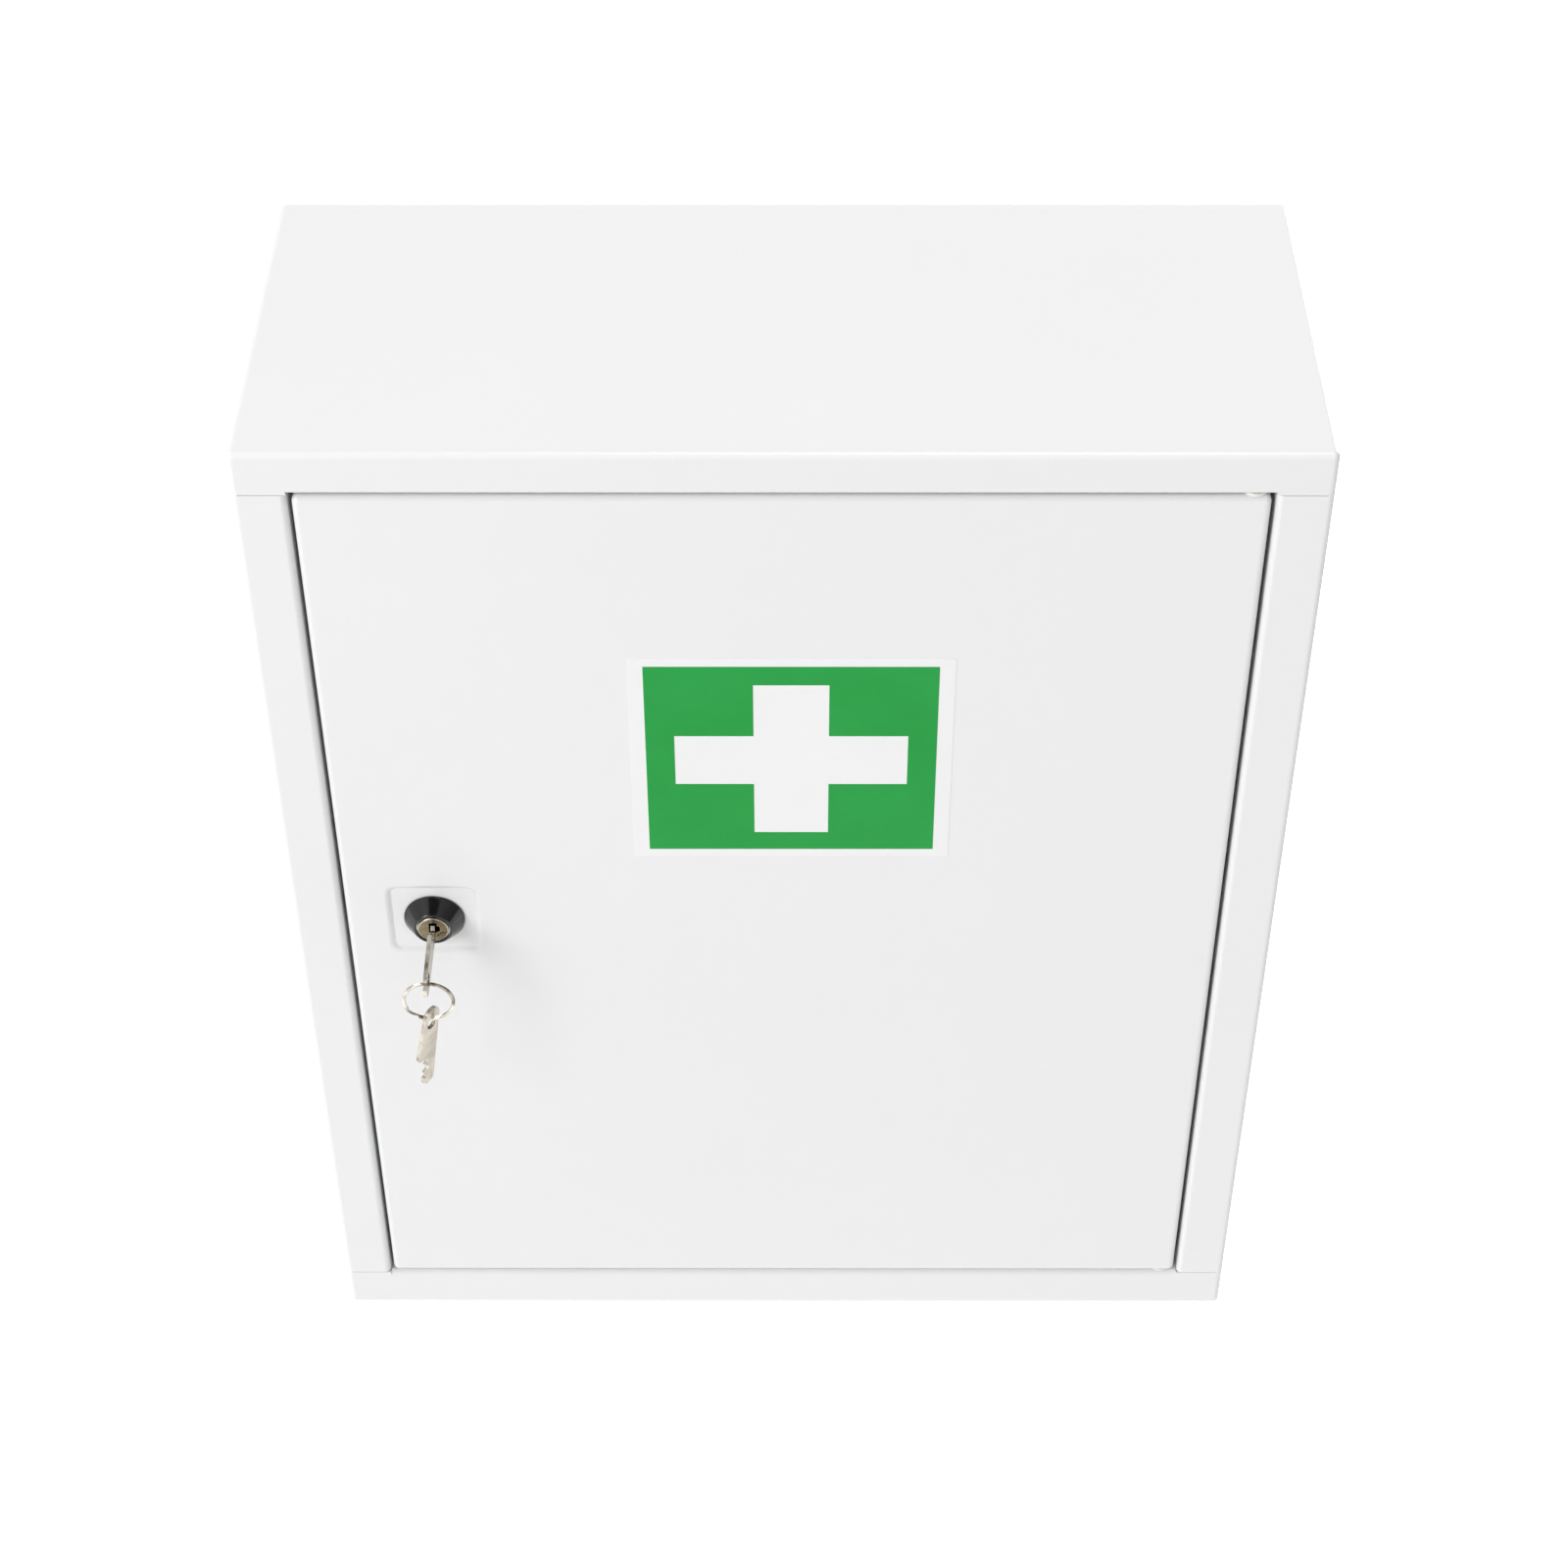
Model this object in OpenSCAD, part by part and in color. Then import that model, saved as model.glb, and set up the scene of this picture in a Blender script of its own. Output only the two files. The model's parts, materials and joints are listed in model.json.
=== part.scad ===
// Wall-hung medicine cabinet of folded sheet steel: an inset door on hidden pivots, a cam lock in a
// pressed square, and two keys on a split ring.
// The origin is the middle of the underside. +Z is up, and the door faces -Y.

/* [Casing] */
// Width over the side walls
cab_w = 380; // [340:10:480]
// Height over the top and bottom walls
cab_h = 460; // [420:10:600]
// Depth from the front face to the wall
cab_d = 160; // [140:5:220]
// Thickness of the steel sheet
sheet_t = 1; // [0.8:0.1:1.2]
// Outer radius of every fold
fold_r = 2.4; // [2:0.1:2.6]
// Width of the front lip on the lock side
lock_lip = 19; // [17:1:24]
// Width of the front lip on the hinge side
hinge_lip = 20; // [18:1:24]
// Height of the front lip at the top
top_lip = 17; // [15:1:24]
// Height of the front lip at the bottom
bottom_lip = 21; // [16:1:26]
// Depth of the lips' returns behind the front face
return_d = 14; // [12:1:15]
// Width of the landing that the door closes against
landing_w = 10; // [9:1:12]
// Width of the flanges that carry the back panel
flange_w = 13; // [12:1:20]
// Width of the open seams between neighbouring lips
seam = 0.35; // [0.2:0.05:0.5]

/* [Back and shelves] */
// Distance across between the wall-fixing holes
hole_span_x = 300; // [200:10:320]
// Distance up between the wall-fixing holes
hole_span_z = 340; // [300:10:380]
// Diameter of a wall-fixing hole
hole_d = 7; // [5:0.5:8]
// Depth of a shelf
shelf_d = 112; // [90:1:114]
// Height of a shelf's folded edges
shelf_fold = 12; // [10:1:15]
// Width of each leg of a shelf rail
rail_w = 12; // [10:1:16]

/* [Door] */
// Gap between the door and the opening, all round
door_gap = 1.5; // [1.2:0.1:1.8]
// Depth of the door tray
door_t = 16; // [16:1:18]
// Width of the tray's inner returns
door_return = 12; // [10:1:16]
// Distance of the pivots from the door's hinge edge
pivot_inset = 5.5; // [5.2:0.1:5.8]
// Depth of the pivots behind the front face
pivot_depth = 5; // [4.8:0.1:5.2]
// Diameter of the pivot pins
pin_d = 4; // [3.5:0.1:4]

/* [Sticker] */
// Width of the white sticker
sticker_w = 119; // [90:1:140]
// Height of the white sticker
sticker_h = 98; // [75:1:110]
// Width of the green field
field_w = 107.3; // [80:0.1:130]
// Height of the green field
field_h = 90.5; // [70:0.1:102]
// Length of the cross's level arm
cross_w = 86; // [60:1:90]
// Height of the cross's upright arm
cross_h = 73; // [50:1:76]
// Width of the upright arm
arm_v = 27.7; // [15:0.1:30]
// Height of the level arm
arm_h = 23.8; // [15:0.1:30]

/* [Lock] */
// Distance of the lock from the door's free edge
lock_inset = 34; // [30:0.5:40]
// Height of the lock above the underside
lock_z = 237.4; // [220:0.1:260]
// Width of the pressed square around the lock
recess_w = 36.5; // [36:0.5:40]
// Depth of the pressed square
recess_d = 1; // [0.6:0.1:1.2]
// Diameter of the bezel at the door
bezel_d = 23.6; // [23:0.1:26]
// Diameter of the bezel's front face
bezel_front_d = 14.8; // [14.8:0.2:17]
// Height of the bezel
bezel_h = 6.8; // [6:0.1:9]
// Diameter of the plug
plug_d = 12.3; // [12:0.1:12.7]
// Length of the threaded barrel behind the door's skin
barrel_l = 18; // [18:1:20]
// Distance from the plug's axis to the cam's tip
cam_reach = 34; // [33:1:36]

/* [Keys] */
// Length of a key
key_l = 43; // [43:1:46]
// Length of a key's bow
bow_l = 27; // [20:1:27]
// Width of a key's bow
bow_w = 10; // [9:0.5:14]
// Width of a key's blade
blade_w = 5.6; // [5:0.2:6.4]
// Thickness of a key
key_t = 1.6; // [1.4:0.1:2]
// Distance of the head of the key in the lock from the door's face
key_out = 41.1; // [40:0.1:43]
// Outer diameter of the split ring
ring_d = 20.3; // [18:0.1:24]
// Turn of the spare key about the vertical
spare_turn = 54; // [45:1:80]
// Lean of the spare key from the vertical, to the left
spare_lean = 8; // [0:0.5:12]

/* [Hidden] */
$fn = 64;
sheet_color = [0.94, 0.94, 0.94];
steel_color = [0.75, 0.75, 0.74];
nickel_color = [0.74, 0.70, 0.63];
black_color = [0.06, 0.06, 0.06];
eps = 0.5;

// Radius of a fold's middle line, and of its inside
fold_mid_r = fold_r - sheet_t / 2;
fold_in_r = fold_r - sheet_t;

// The door's opening
open_left = -cab_w / 2 + lock_lip;
open_right = cab_w / 2 - hinge_lip;
open_bottom = bottom_lip;
open_top = cab_h - top_lip;
// Ends of the top and bottom lips, where the side walls' own front folds begin
lip_end = cab_w / 2 - fold_r;
// The landing stands this far behind the door, with room for the rubber discs
landing_gap = 1.3;
landing_y = door_t + landing_gap;
tab_h = 22;
tab_inset = 1;

// The door
door_left = open_left + door_gap;
door_right = open_right - door_gap;
door_bottom = open_bottom + door_gap;
door_top = open_top - door_gap;
pivot_x = door_right - pivot_inset;

// Pivots: the bush's flange fills the gap but for a little play
pin_reach = 6;
pin_head_d = 5;
pin_head_t = 1.5;
pin_fit = 0.05;
bush_body_d = 6;
bush_flange_d = 8.4;
bush_flange_t = door_gap - 0.2;
bush_body_l = 4;

// Rubber discs on the landing
bumper_d = 7;
bumper_t = landing_gap - 0.2;
bumper_x = open_left + landing_w - bumper_d / 2 - 0.8;
bumper_z = [open_bottom + 60, open_top - 60];

// Shelves: the top faces divide the inside into three equal spaces
shelf_back = cab_d - 2 * sheet_t - 1;
shelf_front = shelf_back - shelf_d;
shelf_side_gap = 1;
lower_shelf_z = sheet_t + (cab_h - 2 * sheet_t) / 3;
upper_shelf_z = sheet_t + (cab_h - 2 * sheet_t) * 2 / 3;
rail_inset = 8;

// Sticker
sticker_x = 2.9;
sticker_z = cab_h - 139.3;
sticker_t = 0.15;
print_t = 0.05;
sticker_corner_r = 1;

// Lock, measured along its axis: 0 is the door's front face and + points out of the door
lock_x = door_left + lock_inset;
floor_z = -recess_d;
bezel_top_z = floor_z + bezel_h;
bezel_rim = 0.8;
bezel_lip = 0.8;
bezel_edge_r = 0.6;
flange_d = 21.6;
flange_t = 1.2;
sleeve_d = 14.8;
barrel_d = 19;
barrel_flat_w = 16.4;
barrel_end_z = floor_z - barrel_l;
plug_fit = 0.05;
plug_face_z = bezel_top_z + 0.1;
plug_clear = 0.3;
nut_af = 23;
nut_t = 4;
recess_corner_r = 5;
recess_slope = 2.3;
cam_gap = 0.25;
cam_t = 2;
cam_w = 13;
cam_hub_d = 17;
boss_w = 7.5;
cam_front_z = barrel_end_z - cam_gap;
cam_back_z = cam_front_z - cam_t;
washer_d = 12;
washer_t = 0.8;
screw_d = 4;
screw_l = 9;
screw_head_d = 7.6;
screw_head_t = 2.6;
keyway_l = 16;
keyway_side = 0.2;
keyway_play = 0.3;
ward_w = 1.2;

// Keys: x runs from the tip to the head, y from the straight spine's side to the cut side.
// The hole for the ring is a slot along the key, placed by the middle of its rounded head end.
head_r = 4;
head_y = head_r - blade_w / 2;
key_hole_d = 4.2;
key_hole_l = 6.5;
key_hole_x = key_l - 6.2;
key_hole_y = head_y + 0.3;
bow_corner_r = 2;
blade_l = key_l - bow_l;
cut_depths = [1.2, 2, 1.5];
cut_pitch = 4.2;
cut_w = 1.2;

// Split ring: two flat turns side by side, hung in the hole of the key in the lock
wire_w = 1.3;
wire_t = 0.65;
ring_mid_r = (ring_d - wire_w) / 2;
// From the middle of a hole's rounded end to the middle of the wire that lies in it
ring_hang = 1.2;
spare_hang = 0.65;
ring_y = -key_out + key_l - key_hole_x;
ring_top_z = lock_z + key_hole_y - ring_hang;
ring_mid_z = ring_top_z - ring_mid_r;
ring_low_z = ring_mid_z - ring_mid_r;
ring_gap_angles = [250, 65];

// ---- Shared shapes ----

module from_front() {
    translate([0, -cab_d / 2, 0]) children();
}

// Sketches: (x, y) becomes (Y, Z), (X, Z) or (X, Y)
module extrude_x(x0, x1) {
    translate([x0, 0, 0]) rotate([90, 0, 90]) linear_extrude(height = x1 - x0) children();
}

module extrude_y(y0, y1) {
    translate([0, y1, 0]) rotate([90, 0, 0]) linear_extrude(height = y1 - y0) children();
}

module extrude_z(z0, z1) {
    translate([0, 0, z0]) linear_extrude(height = z1 - z0) children();
}

module rounded_rect(w, h, r) {
    square([w - 2 * r, h], center = true);
    square([w, h - 2 * r], center = true);
    for (sx = [-1, 1], sy = [-1, 1])
        translate([sx * (w / 2 - r), sy * (h / 2 - r)]) circle(r = r);
}

// A quarter turn of sheet about the origin: 1 turns left, -1 turns right
module fold_arc(turn) {
    intersection() {
        difference() {
            circle(r = fold_r);
            circle(r = fold_in_r);
        }
        translate([0, turn > 0 ? -fold_r : 0]) square(fold_r);
    }
}

// Section through folded sheet, from the origin along +x: each step is [straight run, turn after it]
module fold_path(steps, i = 0) {
    run = steps[i][0];
    turn = steps[i][1];
    if (run > 0) translate([0, -sheet_t / 2]) square([run, sheet_t]);
    if (turn != 0) translate([run, 0]) {
        translate([0, turn * fold_mid_r]) fold_arc(turn);
        translate([fold_mid_r, turn * fold_mid_r]) rotate(90 * turn) fold_path(steps, i + 1);
    }
}

// Section through a wall's front edge: x runs back from the front, y runs in from the wall's face
module edge_section(steps) {
    translate([fold_r, sheet_t / 2]) rotate(180) fold_path(steps);
}

// ---- Casing ----

module lip_section(lip) {
    edge_section([[0, -1], [lip - 2 * fold_r, -1], [return_d - fold_r, 0]]);
}

// The lock side's return runs back to where the landing is folded off it
module landing_lip_section(lip) {
    edge_section([[0, -1], [lip - 2 * fold_r, -1], [landing_y - fold_r - fold_in_r, 0]]);
}

module landing_section(lip) {
    translate([landing_y - fold_in_r, lip - sheet_t / 2])
        fold_path([[0, 1], [landing_w - fold_in_r, 0]]);
}

// Places a level edge along the top (up = 1) or the bottom (up = 0)
module on_level_wall(up, x0, x1) {
    translate([0, 0, up * cab_h]) mirror([0, 0, up]) extrude_x(x0, x1) children();
}

// Places an upright edge on the left (side = -1) or the right (side = 1)
module on_side_wall(side, z0, z1) {
    mirror([side > 0 ? 1 : 0, 0, 0]) translate([-cab_w / 2, 0, 0])
        extrude_z(z0, z1) mirror([1, -1]) children();
}

// A level lip: a flat face over the whole width, folded back only across the opening
module level_lip(up, lip) {
    on_level_wall(up, -lip_end, lip_end)
        edge_section([[0, -1], [lip - 2 * fold_r, 0]]);
    on_level_wall(up, open_left, open_right)
        intersection() {
            lip_section(lip);
            translate([0, lip - fold_r]) square([return_d, fold_r]);
        }
    for (ends = [[-lip_end, open_left], [open_right, lip_end]])
        on_level_wall(up, ends[0], ends[1])
            translate([0, lip - fold_r]) square([sheet_t, fold_r]);
}

// The side wall's front fold alone, which runs on past the ends of the level lips
module side_strip(side, z0, z1) {
    on_side_wall(side, z0, z1) edge_section([[0, -1], [0, 0]]);
}

module side_strips(side) {
    side_strip(side, fold_r, open_bottom + seam);
    side_strip(side, open_top - seam, cab_h - fold_r);
}

// Welded tabs behind the seams between the level and upright lips, clear of the folds
module seam_tab(side, lip, z) {
    on_side_wall(side, z - tab_h / 2, z + tab_h / 2)
        translate([sheet_t, fold_r + tab_inset]) square([sheet_t, lip - 2 * fold_r - tab_inset]);
}

// A corner between three folds, welded and ground round: sx, sy and sz are the sides it faces
module ground_corner(sx, sy, sz) {
    mirror([sx < 0 ? 1 : 0, 0, 0]) mirror([0, sy < 0 ? 1 : 0, 0]) mirror([0, 0, sz < 0 ? 1 : 0])
        intersection() {
            difference() {
                sphere(r = fold_r);
                sphere(r = fold_in_r);
            }
            cube(fold_r);
        }
}

module back_flanges() {
    translate([0, cab_d, 0]) mirror([0, 1, 0]) {
        for (up = [0, 1])
            on_level_wall(up, -cab_w / 2 + fold_r, cab_w / 2 - fold_r)
                edge_section([[0, -1], [flange_w - fold_r, 0]]);
        for (side = [-1, 1]) {
            on_side_wall(side, flange_w, cab_h - flange_w)
                edge_section([[0, -1], [flange_w - fold_r, 0]]);
            side_strip(side, fold_r, flange_w);
            side_strip(side, cab_h - flange_w, cab_h - fold_r);
        }
    }
}

// The upper and lower corner of a side wall, at the front (back = -1) or the back (back = 1)
module casing_corners(side, back) {
    for (up = [-1, 1])
        translate([side * (cab_w / 2 - fold_r), cab_d / 2 + back * (cab_d / 2 - fold_r),
            cab_h / 2 + up * (cab_h / 2 - fold_r)]) ground_corner(side, back, up);
}

// The casing is folded from one sheet. Its walls, its back rim and its lips are separate solids,
// parted where the folds begin.
module level_wall(up) {
    color(sheet_color) from_front()
        translate([-cab_w / 2 + fold_r, fold_r, up * (cab_h - sheet_t)])
            cube([cab_w - 2 * fold_r, cab_d - 2 * fold_r, sheet_t]);
}

// A side wall with the folds along its upper and lower edges
module side_wall(side) {
    color(sheet_color) from_front() extrude_y(fold_r, cab_d - fold_r) intersection() {
        translate([0, cab_h / 2]) difference() {
            rounded_rect(cab_w, cab_h, fold_r);
            rounded_rect(cab_w - 2 * sheet_t, cab_h - 2 * sheet_t, fold_in_r);
        }
        translate([side > 0 ? cab_w / 2 - fold_r : -cab_w / 2, 0]) square([fold_r, cab_h]);
    }
}

module top_wall() {
    level_wall(1);
}

module bottom_wall() {
    level_wall(0);
}

module lock_side_wall() {
    side_wall(-1);
}

module hinge_side_wall() {
    side_wall(1);
}

module back_rim() {
    color(sheet_color) from_front() {
        back_flanges();
        for (side = [-1, 1]) casing_corners(side, 1);
    }
}

// A level lip with its seam tabs and the hole for a pivot pin in its return
module level_lip_piece(up, lip) {
    z = up > 0 ? cab_h - lip : lip;
    color(sheet_color) from_front() {
        difference() {
            level_lip(up, lip);
            translate([pivot_x, pivot_depth, z])
                cylinder(d = pin_d + 2 * pin_fit, h = 4 * sheet_t, center = true);
        }
        seam_tab(-1, lock_lip, z);
        seam_tab(1, hinge_lip, z);
    }
}

module upper_lip() {
    level_lip_piece(1, top_lip);
}

module lower_lip() {
    level_lip_piece(0, bottom_lip);
}

// The side wall's whole front fold, with its lip between the level lips
module lock_side_lip() {
    color(sheet_color) from_front() {
        on_side_wall(-1, open_bottom + seam, open_top - seam) landing_lip_section(lock_lip);
        side_strips(-1);
        casing_corners(-1, -1);
    }
}

module door_landing() {
    color(sheet_color) from_front()
        on_side_wall(-1, open_bottom + seam, open_top - seam) landing_section(lock_lip);
}

module hinge_side_lip() {
    color(sheet_color) from_front() {
        on_side_wall(1, open_bottom + seam, open_top - seam) lip_section(hinge_lip);
        side_strips(1);
        casing_corners(1, -1);
    }
}

module back_panel() {
    color(sheet_color) from_front()
        extrude_y(cab_d - 2 * sheet_t, cab_d - sheet_t) translate([0, cab_h / 2]) difference() {
            square([cab_w - 2 * fold_r - 1, cab_h - 2 * fold_r - 1], center = true);
            for (sx = [-1, 1], sz = [-1, 1])
                translate([sx * hole_span_x / 2, sz * hole_span_z / 2]) circle(d = hole_d);
        }
}

// ---- Shelves ----

module shelf(z_top) {
    width = cab_w - 2 * (sheet_t + shelf_side_gap);
    color(sheet_color) from_front()
        extrude_x(-width / 2, width / 2)
            translate([shelf_front + sheet_t / 2, z_top - shelf_fold]) rotate(90)
                fold_path([[shelf_fold - fold_r, -1], [shelf_d - 2 * fold_r, -1],
                    [shelf_fold - fold_r, 0]]);
}

module upper_shelf() {
    shelf(upper_shelf_z);
}

module lower_shelf() {
    shelf(lower_shelf_z);
}

// An angle welded to a side wall, under the shelf whose top face is at z_top
module rail(side, z_top) {
    color(sheet_color) from_front() mirror([side > 0 ? 1 : 0, 0, 0])
        extrude_y(shelf_front + rail_inset, shelf_back - rail_inset)
            translate([-cab_w / 2 + 1.5 * sheet_t, z_top - sheet_t - rail_w]) rotate(90)
                fold_path([[rail_w - fold_r, -1], [rail_w - fold_r, 0]]);
}

module upper_left_rail() {
    rail(-1, upper_shelf_z);
}

module upper_right_rail() {
    rail(1, upper_shelf_z);
}

module lower_left_rail() {
    rail(-1, lower_shelf_z);
}

module lower_right_rail() {
    rail(1, lower_shelf_z);
}

// ---- Pivots and discs ----

// A headed pin through a lip's return, standing into the opening along +z from the return's face
module pivot_pin() {
    tip = 0.6;
    translate([0, 0, -sheet_t - pin_head_t]) cylinder(d = pin_head_d, h = pin_head_t);
    translate([0, 0, -sheet_t]) cylinder(d = pin_d, h = sheet_t + pin_reach - tip);
    translate([0, 0, pin_reach - tip]) cylinder(d1 = pin_d, d2 = pin_d - 2 * tip, h = tip);
}

// A flanged bush in the door's end flange: z = 0 is the door's outside face, the body runs inwards
module bush() {
    difference() {
        union() {
            translate([0, 0, -bush_flange_t]) cylinder(d = bush_flange_d, h = bush_flange_t);
            cylinder(d = bush_body_d, h = bush_body_l);
        }
        translate([0, 0, -bush_flange_t - eps])
            cylinder(d = pin_d + 2 * pin_fit, h = bush_flange_t + bush_body_l + 2 * eps);
    }
}

module upper_pivot_pin() {
    color(steel_color) from_front() translate([pivot_x, pivot_depth, open_top])
        mirror([0, 0, 1]) pivot_pin();
}

module lower_pivot_pin() {
    color(steel_color) from_front() translate([pivot_x, pivot_depth, open_bottom]) pivot_pin();
}

module upper_bush() {
    color("white") from_front() translate([pivot_x, pivot_depth, door_top]) mirror([0, 0, 1]) bush();
}

module lower_bush() {
    color("white") from_front() translate([pivot_x, pivot_depth, door_bottom]) bush();
}

module door_bumpers() {
    color("dimgray") from_front() for (z = bumper_z)
        translate([bumper_x, landing_y, z]) rotate([90, 0, 0]) cylinder(d = bumper_d, h = bumper_t);
}

// ---- Door ----

// The pressed square for the lock, as stacked slopes from the front face down to its floor
module recess_form() {
    layers = [[0, 0], [0.25, 0.4], [0.75, 0.8], [1, 1]];
    centre = recess_w / 2 - recess_corner_r;
    for (i = [0 : len(layers) - 2]) {
        in0 = layers[i][1] * recess_slope;
        in1 = layers[i + 1][1] * recess_slope;
        z0 = -layers[i][0] * recess_d;
        h = (layers[i + 1][0] - layers[i][0]) * recess_d;
        half0 = recess_w / 2 - in0;
        half1 = recess_w / 2 - in1;
        for (sx = [-1, 1], sy = [-1, 1])
            translate([sx * centre, sy * centre, z0 - h])
                cylinder(r1 = recess_corner_r - in1, r2 = recess_corner_r - in0, h = h);
        for (turn = [0, 90])
            rotate(turn) translate([0, centre, 0]) rotate([90, 0, 0])
                linear_extrude(height = 2 * centre)
                    polygon([[-half0, z0], [-half1, z0 - h], [half1, z0 - h], [half0, z0]]);
    }
    linear_extrude(height = eps) rounded_rect(recess_w, recess_w, recess_corner_r);
}

module barrel_outline() {
    intersection() {
        circle(d = barrel_d);
        square([barrel_d + 1, barrel_flat_w], center = true);
    }
}

module at_lock() {
    from_front() translate([lock_x, 0, lock_z]) rotate([90, 0, 0]) children();
}

// A door end: its fold and flange along the flat width, and the flange's corners behind the ground ones
module door_end() {
    extrude_x(door_left + fold_r, door_right - fold_r)
        translate([door_t, -sheet_t / 2]) rotate(180) fold_path([[door_t - fold_r, 1], [0, 0]]);
    for (x = [door_left, door_right - fold_r])
        translate([x, fold_r, -sheet_t]) cube([fold_r, door_t - fold_r, sheet_t]);
    for (x = [door_left, door_right - sheet_t])
        translate([x, fold_r, -fold_r]) cube([sheet_t, door_t - 2 * fold_r, fold_r - sheet_t]);
}

module door_corners() {
    for (side = [-1, 1], up = [-1, 1])
        translate([side < 0 ? door_left + fold_r : door_right - fold_r, fold_r,
            up < 0 ? door_bottom + fold_r : door_top - fold_r]) ground_corner(side, -1, up);
}

// The door's outline, with its corners ground round
module door_outline() {
    extrude_y(-eps, door_t + eps) translate([(door_left + door_right) / 2, (door_bottom + door_top) / 2])
        rounded_rect(door_right - door_left, door_top - door_bottom, fold_r);
}

module door_tray() {
    extrude_z(door_bottom + fold_r, door_top - fold_r)
        translate([door_left + door_return, door_t - sheet_t / 2]) rotate(180)
            fold_path([[door_return - fold_r, 1], [door_t - 2 * fold_r, 1],
                [door_right - door_left - 2 * fold_r, 1], [door_t - 2 * fold_r, 1],
                [door_return - fold_r, 0]]);
    intersection() {
        union() {
            translate([0, 0, door_top]) door_end();
            translate([0, 0, door_bottom]) mirror([0, 0, 1]) door_end();
        }
        door_outline();
    }
    door_corners();
}

module door_panel() {
    color(sheet_color) difference() {
        union() {
            from_front() door_tray();
            at_lock() translate([0, 0, -sheet_t]) recess_form();
        }
        at_lock() recess_form();
        at_lock() translate([0, 0, floor_z - sheet_t - eps])
            linear_extrude(height = sheet_t + 2 * eps) barrel_outline();
        from_front() for (z = [door_bottom, door_top])
            translate([pivot_x, pivot_depth, z]) cylinder(d = bush_body_d, h = 4 * sheet_t, center = true);
    }
}

module sticker_base() {
    color("white") from_front() extrude_y(-sticker_t, 0)
        translate([sticker_x, sticker_z]) rounded_rect(sticker_w, sticker_h, sticker_corner_r);
}

module sticker_print() {
    color([0.18, 0.63, 0.29]) from_front() extrude_y(-sticker_t - print_t, -sticker_t)
        translate([sticker_x, sticker_z]) difference() {
            square([field_w, field_h], center = true);
            square([cross_w, arm_h], center = true);
            square([arm_v, cross_h], center = true);
        }
}

// ---- Lock ----

module lock_bezel() {
    bore_r = plug_d / 2 + plug_clear;
    front_r = bezel_front_d / 2;
    base_r = bezel_d / 2;
    slope = atan2(base_r - front_r, bezel_h - bezel_rim);
    // Distance from the sharp front corner to where its rounding meets the front face
    cut = bezel_edge_r / tan((90 + slope) / 2);
    rounding = [for (i = [0 : 5]) let (a = 90 + (slope - 90) * i / 5)
        [front_r - cut, bezel_h - bezel_edge_r] + bezel_edge_r * [cos(a), sin(a)]];
    color(black_color) at_lock() translate([0, 0, floor_z]) rotate_extrude($fn = 96)
        polygon(concat([[bore_r, bezel_h]], rounding, [[base_r, bezel_rim], [base_r, 0],
            [flange_d / 2, 0], [flange_d / 2, flange_t], [sleeve_d / 2, flange_t],
            [sleeve_d / 2, bezel_h - bezel_lip], [bore_r, bezel_h - bezel_lip]]));
}

module lock_barrel() {
    color(steel_color) at_lock() difference() {
        union() {
            translate([0, 0, barrel_end_z]) linear_extrude(height = barrel_l) barrel_outline();
            translate([0, 0, floor_z]) cylinder(d = flange_d, h = flange_t);
            translate([0, 0, floor_z]) cylinder(d = sleeve_d, h = bezel_h - bezel_lip);
        }
        translate([0, 0, barrel_end_z - eps])
            cylinder(d = plug_d + 2 * plug_fit, h = barrel_l + bezel_h + 2 * eps);
    }
}

module lock_nut() {
    corner_d = nut_af / cos(30);
    color(steel_color) at_lock() translate([0, 0, floor_z - sheet_t - nut_t]) difference() {
        intersection() {
            cylinder(d = corner_d, h = nut_t, $fn = 6);
            union() {
                cylinder(d1 = nut_af - 1, d2 = corner_d + 0.5, h = nut_t / 4);
                translate([0, 0, nut_t / 4]) cylinder(d = corner_d + 0.5, h = nut_t);
            }
        }
        translate([0, 0, -eps]) cylinder(d = barrel_d, h = nut_t + 2 * eps);
    }
}

// The slot for the blade, with a wider middle for the side ward
module keyway() {
    slot_w = key_t + 2 * keyway_side;
    slot_h = blade_w + 2 * keyway_play;
    translate([-slot_w / 2, -slot_h / 2, plug_face_z - keyway_l]) cube([slot_w, slot_h, keyway_l + eps]);
    translate([0, -slot_h / 4, plug_face_z - keyway_l])
        cube([slot_w / 2 + ward_w, slot_h / 2, keyway_l + eps]);
}

module lock_plug() {
    color(nickel_color) at_lock() difference() {
        union() {
            translate([0, 0, barrel_end_z]) cylinder(d = plug_d, h = plug_face_z - barrel_end_z);
            translate([-boss_w / 2, -boss_w / 2, cam_back_z]) cube([boss_w, boss_w, cam_t + cam_gap]);
        }
        keyway();
        translate([0, 0, cam_back_z - eps]) cylinder(d = screw_d, h = screw_l + eps);
    }
}

// At rest the cam points down and the door is free
module lock_cam() {
    color(steel_color) at_lock() translate([0, 0, cam_back_z]) linear_extrude(height = cam_t)
        difference() {
            union() {
                circle(d = cam_hub_d);
                translate([0, -cam_reach / 2]) rounded_rect(cam_w, cam_reach, 3);
            }
            square(boss_w, center = true);
        }
}

module cam_washer() {
    color(steel_color) at_lock() translate([0, 0, cam_back_z - washer_t]) difference() {
        cylinder(d = washer_d, h = washer_t);
        translate([0, 0, -eps]) cylinder(d = screw_d, h = washer_t + 2 * eps);
    }
}

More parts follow.
